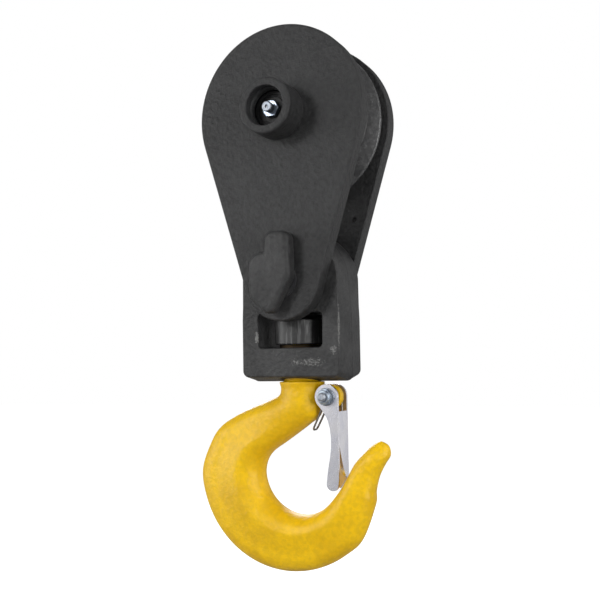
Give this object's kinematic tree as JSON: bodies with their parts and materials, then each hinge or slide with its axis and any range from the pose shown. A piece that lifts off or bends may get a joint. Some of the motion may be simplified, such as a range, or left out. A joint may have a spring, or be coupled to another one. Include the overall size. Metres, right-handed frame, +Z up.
{
  "type": "single sheave block",
  "caption": "Teardrop side plates around a grooved sheave, held by a handle bolt through a swinging yoke with a swivel safety-latch hook.",
  "frame": {"origin": "on the sheave's axis, midway between the two side plates", "axes": "+Z up along the block's length, away from the hook; +Y along the sheave's axis, towards the rear plate; +X towards the hook's tip"},
  "size_m": [0.1881, 0.1186, 0.4899],
  "materials": {
    "block_paint": "satin charcoal paint over forged steel, fine orange peel",
    "hook_paint": "glossy yellow paint over a forging, worn along its edges",
    "zinc_plate": "bright zinc plating",
    "pin_steel": "ground steel",
    "black_steel": "black oxide",
    "worn_steel": "dark steel, paint worn off in streaks",
    "spring_steel": "spring wire",
    "bronze": "bearing bronze"
  },
  "bodies": {
    "frame": {"front_side_plate": "block_paint", "rear_side_plate": "block_paint", "centre_pin": "pin_steel", "hub_collar": "block_paint", "collar_set_screw": "black_steel", "grease_nipple": "zinc_plate", "nipple_ball": "pin_steel", "front_hub_washer": "bronze", "rear_hub_washer": "bronze"},
    "sheave": {"sheave": "block_paint", "sheave_bush": "bronze"},
    "bolt_slide": {"bolt_washer": "black_steel"},
    "bolt": {"handle_bolt": "block_paint", "bolt_spring_ring": "black_steel"},
    "yoke": {"yoke": "block_paint", "thrust_washer": "bronze"},
    "hook": {"hook": "hook_paint", "hook_nut": "worn_steel", "nut_lock_pin": "black_steel", "latch_bolt": "zinc_plate", "latch_washers": "zinc_plate", "latch_nut": "zinc_plate", "latch_spring": "spring_steel"},
    "latch": {"latch": "zinc_plate"}
  },
  "joints": [
    {"name": "sheave_spin", "type": "hinge", "parent": "frame", "child": "sheave", "pos_m": [0, 0, 0], "axis": [0, 1, 0], "continuous": true},
    {"name": "bolt_pull", "type": "slide", "parent": "frame", "child": "bolt_slide", "axis": [0, -1, 0], "range_m": [0, 0.074]},
    {"name": "bolt_turn", "type": "hinge", "parent": "bolt_slide", "child": "bolt", "pos_m": [0, 0, -0.15], "axis": [0, -1, 0], "continuous": true},
    {"name": "yoke_swing", "type": "hinge", "parent": "frame", "child": "yoke", "pos_m": [0, 0, -0.15], "axis": [0, 1, 0], "range_deg": [-90, 90]},
    {"name": "hook_swivel", "type": "hinge", "parent": "yoke", "child": "hook", "pos_m": [0, 0, -0.22], "axis": [0, 0, 1], "continuous": true},
    {"name": "latch_swing", "type": "hinge", "parent": "hook", "child": "latch", "pos_m": [0.0285, 0, -0.2531], "axis": [0, 1, 0], "range_deg": [0, 38], "stiffness_Nm_per_rad": 0.15, "springref_deg": -34.38, "deforming": ["latch_spring"]}
  ]
}
